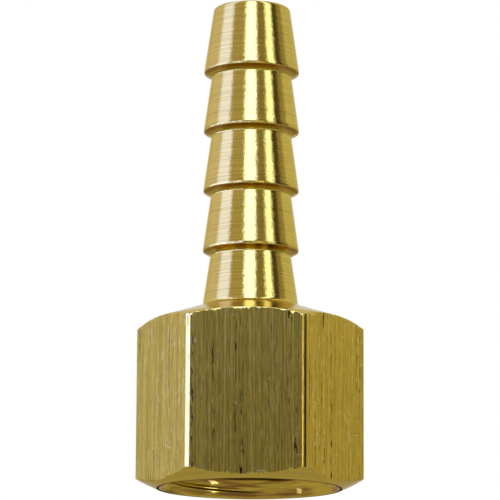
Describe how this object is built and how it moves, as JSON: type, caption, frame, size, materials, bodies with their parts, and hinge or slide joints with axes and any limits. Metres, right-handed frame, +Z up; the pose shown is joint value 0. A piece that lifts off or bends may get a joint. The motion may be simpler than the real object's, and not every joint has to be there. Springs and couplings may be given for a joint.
{
  "type": "hose barb fitting",
  "caption": "One-piece turned brass adapter: a hexagonal end with a female pipe thread, and a straight barbed tail that a flexible hose is pushed over.",
  "frame": {"origin": "centre of the mouth of the female end, in the plane of its end face, on which the fitting stands", "axes": "+Z up the waterway towards the tip of the barbed tail, -Y out of one flat of the hexagon, +X through one of its corners"},
  "size_m": [0.0182, 0.0158, 0.0394],
  "materials": {
    "brass": "bright turned brass, with drawn flats"
  },
  "bodies": {
    "root": {"fitting_body": "brass"}
  },
  "joints": []
}
